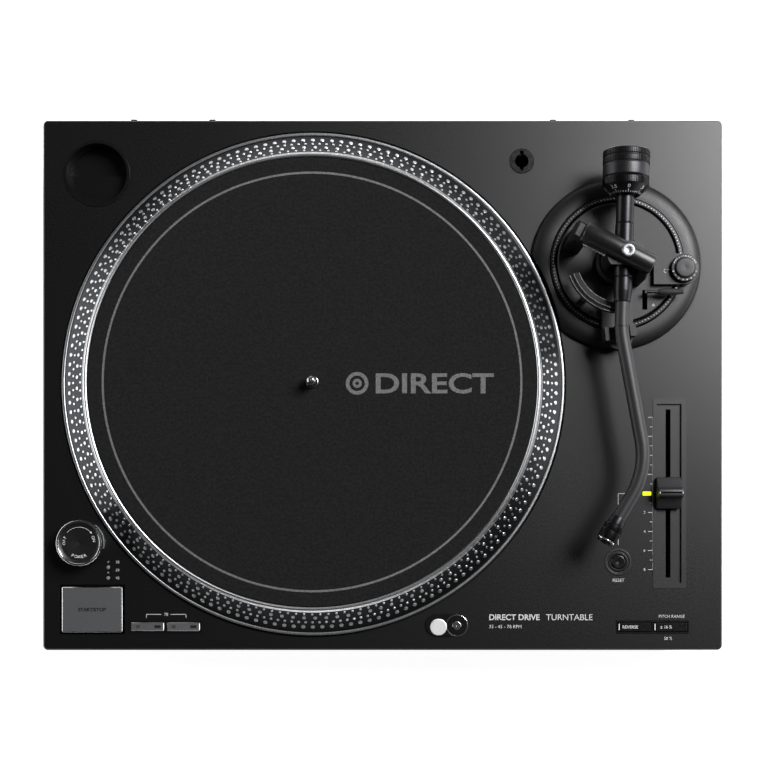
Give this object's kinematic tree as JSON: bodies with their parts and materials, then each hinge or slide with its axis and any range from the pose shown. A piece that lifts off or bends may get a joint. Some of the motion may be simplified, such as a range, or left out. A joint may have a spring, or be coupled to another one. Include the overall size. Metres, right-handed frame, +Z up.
{
  "type": "turntable record player",
  "caption": "Low rectangular plinth with a dotted-rim platter and felt mat, a curved tonearm with counterweight, a pitch fader and sprung push buttons.",
  "frame": {"origin": "middle of the footprint, at the height of the surface the feet stand on", "axes": "+X to the right across the front, +Y to the rear, +Z up; the platter is left of centre and the tonearm at the rear right"},
  "size_m": [0.45, 0.352, 0.144],
  "materials": {
    "powder_coat": "fine matt powder coat on die-cast aluminium",
    "moulded_abs": "satin moulded black",
    "base_rubber": "heavy rubber-filled base",
    "foot_rubber": "matt rubber",
    "zinc_steel": "zinc plated",
    "turned_aluminium": "die-cast and turned, polished dots",
    "ground_steel": "ground and polished",
    "ferrite": "sintered ferrite",
    "bearing_metal": "cast and plated",
    "felt": "pressed felt",
    "clear_lens": "moulded clear",
    "arm_black": "satin black paint",
    "arm_aluminium": "black anodised",
    "weight_metal": "black coated",
    "button_grey": "satin grey",
    "lamp_trim": "dished bright ring",
    "connector": "moulded with plated contacts",
    "circuit_board": "solder mask"
  },
  "bodies": {
    "plinth": {"top_casing": "powder_coat", "chassis": "moulded_abs", "bottom_cover": "base_rubber", "cover_screws": "zinc_steel", "bearing_housing": "bearing_metal", "motor_stator": "bearing_metal", "adapter_well": "moulded_abs", "headshell_holder": "moulded_abs", "hinge_sockets": "moulded_abs", "button_bezels": "moulded_abs", "reset_bezel": "moulded_abs", "pitch_plate": "moulded_abs", "pitch_potentiometer": "bearing_metal", "lamp_plate": "lamp_trim", "strobe_tower": "moulded_abs", "strobe_lens": "clear_lens", "indicator_leds": "clear_lens", "tonearm_base": "moulded_abs", "phono_jacks": "connector", "mains_inlet": "connector", "ground_terminal": "zinc_steel", "main_board": "circuit_board", "control_board": "circuit_board", "power_supply": "bearing_metal"},
    "foot_front_left": {"foot_front_left": "foot_rubber"},
    "foot_front_right": {"foot_front_right": "foot_rubber"},
    "foot_rear_left": {"foot_rear_left": "foot_rubber"},
    "foot_rear_right": {"foot_rear_right": "foot_rubber"},
    "platter": {"platter": "turned_aluminium", "spindle": "ground_steel", "rotor_magnet": "ferrite"},
    "slip_mat": {"slip_mat": "felt"},
    "height_ring": {"height_ring": "arm_black"},
    "arm_support": {"arm_platform": "arm_black", "bearing_bridge": "arm_black", "pivot_screw": "zinc_steel", "arm_rest": "moulded_abs"},
    "anti_skate_knob": {"anti_skate_knob": "arm_black"},
    "rest_clip": {"rest_clip": "moulded_abs"},
    "cue_lever": {"cue_lever": "arm_black"},
    "lift_bar": {"lift_bar": "arm_black"},
    "gimbal": {"gimbal": "arm_black"},
    "pitch_axle": {"pitch_axle": "zinc_steel"},
    "tonearm": {"arm_hub": "arm_aluminium", "arm_tube": "arm_aluminium", "headshell_socket": "arm_aluminium"},
    "collet_nut": {"collet_nut": "arm_aluminium"},
    "weight_sleeve": {"weight_sleeve": "arm_aluminium"},
    "counterweight": {"counterweight": "weight_metal"},
    "force_dial": {"force_dial": "arm_aluminium"},
    "start_button": {"start_button": "button_grey"},
    "speed_button_33": {"speed_button_33": "button_grey"},
    "speed_button_45": {"speed_button_45": "button_grey"},
    "reverse_button": {"reverse_button": "button_grey"},
    "range_button": {"range_button": "button_grey"},
    "reset_button": {"reset_button": "button_grey"},
    "power_knob": {"power_knob": "arm_black"},
    "pitch_fader": {"fader_cap": "moulded_abs"},
    "target_lamp": {"target_lamp": "ground_steel"},
    "lamp_button": {"lamp_button": "button_grey"}
  },
  "joints": [
    {"name": "platter_spin", "type": "hinge", "parent": "plinth", "child": "platter", "pos_m": [-0.046, 0, 0.106], "axis": [0, 0, 1], "continuous": true},
    {"name": "mat_slip", "type": "hinge", "parent": "platter", "child": "slip_mat", "pos_m": [-0.046, 0, 0.107], "axis": [0, 0, 1], "continuous": true},
    {"name": "height_ring_turn", "type": "hinge", "parent": "plinth", "child": "height_ring", "pos_m": [0.154, 0.0789, 0.1], "axis": [0, 0, 1], "range_deg": [0, 300]},
    {"name": "arm_height", "type": "slide", "parent": "plinth", "child": "arm_support", "axis": [0, 0, 1], "range_m": [0, 0.006]},
    {"name": "anti_skate_turn", "type": "hinge", "parent": "arm_support", "child": "anti_skate_knob", "pos_m": [0.1965, 0.074, 0.108], "axis": [0, 0, 1], "range_deg": [-270, 0]},
    {"name": "rest_clip_swing", "type": "hinge", "parent": "arm_support", "child": "rest_clip", "pos_m": [0.16085, 0.03137, 0.1127], "axis": [-0.1045, 0.9945, 0], "range_deg": [0, 60]},
    {"name": "arm_swing", "type": "hinge", "parent": "arm_support", "child": "gimbal", "pos_m": [0.154, 0.0789, 0.126], "axis": [0, 0, 1], "range_deg": [-50, 0]},
    {"name": "arm_cue", "type": "hinge", "parent": "gimbal", "child": "pitch_axle", "pos_m": [0.154, 0.0789, 0.126], "axis": [-0.9996, 0.0297, 0], "range_deg": [-2.5, 0]},
    {"name": "cue_lever_swing", "type": "hinge", "parent": "arm_support", "child": "cue_lever", "pos_m": [0.1719, 0.0545, 0.091], "axis": [1, 0, 0], "range_deg": [0, 26.5]},
    {"name": "lift_bar_travel", "type": "slide", "parent": "arm_support", "child": "lift_bar", "axis": [0, 0, 1], "range_m": [-0.0026, 0]},
    {"name": "arm_lift", "type": "hinge", "parent": "pitch_axle", "child": "tonearm", "pos_m": [0.154, 0.0789, 0.126], "axis": [-0.9996, 0.0297, 0], "range_deg": [0, 7]},
    {"name": "weight_turn", "type": "hinge", "parent": "weight_sleeve", "child": "counterweight", "pos_m": [0.15563, 0.13388, 0.126], "axis": [0.0297, 0.9996, 0], "range_deg": [-240, 240]},
    {"name": "weight_travel", "type": "slide", "parent": "tonearm", "child": "weight_sleeve", "axis": [0.0297, 0.9996, 0], "range_m": [-0.004, 0.004]},
    {"name": "force_dial_turn", "type": "hinge", "parent": "weight_sleeve", "child": "force_dial", "pos_m": [0.1553, 0.12288, 0.126], "axis": [0.0297, 0.9996, 0], "range_deg": [-180, 180]},
    {"name": "collet_turn", "type": "hinge", "parent": "tonearm", "child": "collet_nut", "pos_m": [0.14517, -0.09864, 0.126], "axis": [0.5045, 0.8634, 0], "range_deg": [0, 270]},
    {"name": "power_turn", "type": "hinge", "parent": "plinth", "child": "power_knob", "pos_m": [-0.1982, -0.105, 0.104], "axis": [0, 0, 1], "range_deg": [-60, 0]},
    {"name": "pitch_travel", "type": "slide", "parent": "plinth", "child": "pitch_fader", "axis": [0, 1, 0], "range_m": [-0.05, 0.05]},
    {"name": "start_button_press", "type": "slide", "parent": "plinth", "child": "start_button", "axis": [0, 0, 1], "range_m": [-0.0015, 0], "stiffness_N_per_m": 400, "springref_m": 0.001},
    {"name": "speed_button_33_press", "type": "slide", "parent": "plinth", "child": "speed_button_33", "axis": [0, 0, 1], "range_m": [-0.001, 0], "stiffness_N_per_m": 400, "springref_m": 0.001},
    {"name": "speed_button_45_press", "type": "slide", "parent": "plinth", "child": "speed_button_45", "axis": [0, 0, 1], "range_m": [-0.001, 0], "stiffness_N_per_m": 400, "springref_m": 0.001},
    {"name": "reverse_button_press", "type": "slide", "parent": "plinth", "child": "reverse_button", "axis": [0, 0, 1], "range_m": [-0.001, 0], "stiffness_N_per_m": 400, "springref_m": 0.001},
    {"name": "range_button_press", "type": "slide", "parent": "plinth", "child": "range_button", "axis": [0, 0, 1], "range_m": [-0.001, 0], "stiffness_N_per_m": 400, "springref_m": 0.001},
    {"name": "reset_button_press", "type": "slide", "parent": "plinth", "child": "reset_button", "axis": [0, 0, 1], "range_m": [-0.001, 0], "stiffness_N_per_m": 400, "springref_m": 0.001},
    {"name": "lamp_rise", "type": "slide", "parent": "plinth", "child": "target_lamp", "axis": [0, 0, 1], "range_m": [0, 0.014]},
    {"name": "lamp_button_press", "type": "slide", "parent": "plinth", "child": "lamp_button", "axis": [0, 0, 1], "range_m": [-0.0015, 0], "stiffness_N_per_m": 400, "springref_m": 0.001},
    {"name": "foot_front_left_screw", "type": "slide", "parent": "plinth", "child": "foot_front_left", "axis": [0, 0, -1], "range_m": [0, 0.006]},
    {"name": "foot_front_right_screw", "type": "slide", "parent": "plinth", "child": "foot_front_right", "axis": [0, 0, -1], "range_m": [0, 0.006]},
    {"name": "foot_rear_left_screw", "type": "slide", "parent": "plinth", "child": "foot_rear_left", "axis": [0, 0, -1], "range_m": [0, 0.006]},
    {"name": "foot_rear_right_screw", "type": "slide", "parent": "plinth", "child": "foot_rear_right", "axis": [0, 0, -1], "range_m": [0, 0.006]}
  ],
  "couplings": [
    {"joint": "arm_height", "follows": "height_ring_turn", "m_per_rad": 0.001146},
    {"joint": "cue_lever_swing", "follows": "arm_cue", "ratio": -10.6},
    {"joint": "lift_bar_travel", "follows": "arm_cue", "m_per_rad": 0.0573},
    {"joint": "weight_travel", "follows": "weight_turn", "m_per_rad": 0.0009072}
  ]
}
